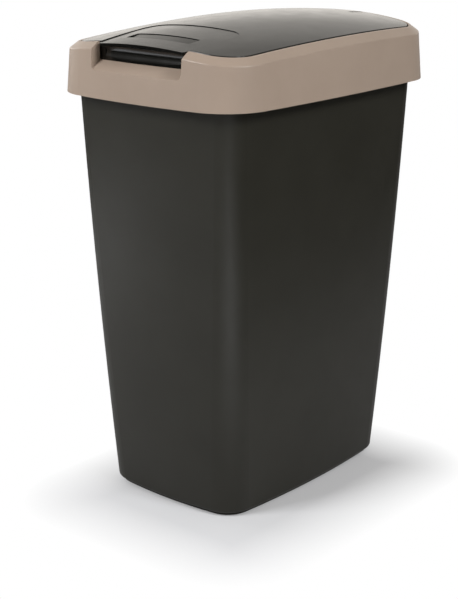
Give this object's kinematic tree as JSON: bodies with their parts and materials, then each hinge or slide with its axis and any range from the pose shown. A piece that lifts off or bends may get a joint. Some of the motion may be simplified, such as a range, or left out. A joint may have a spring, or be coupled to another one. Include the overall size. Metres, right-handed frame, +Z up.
{
  "type": "lidded trash can",
  "caption": "Kitchen trash can: tapered dark bucket, taupe lift-off collar and a glossy black crowned lid that is raised by a front lip.",
  "frame": {"origin": "on the floor under the middle of the bin, at the underside of the foot ring", "axes": "+Z up, the side with the finger notch towards -Y, +X to the right seen from the front"},
  "size_m": [0.258, 0.36, 0.508],
  "materials": {
    "bucket_plastic": "fine matte grain",
    "collar_plastic": "satin",
    "lid_plastic": "gloss",
    "pin_plastic": "as moulded"
  },
  "bodies": {
    "bucket": {"bucket": "bucket_plastic"},
    "collar": {"collar": "collar_plastic"},
    "lid": {"lid": "lid_plastic", "hinge_pin_left": "pin_plastic", "hinge_pin_right": "pin_plastic"}
  },
  "joints": [
    {"name": "collar_lift", "type": "slide", "parent": "bucket", "child": "collar", "axis": [0, 0, 1], "range_m": [0, 0.06]},
    {"name": "lid_hinge", "type": "hinge", "parent": "collar", "child": "lid", "pos_m": [0, 0.142, 0.495], "axis": [-1, 0, 0], "range_deg": [0, 100]}
  ]
}
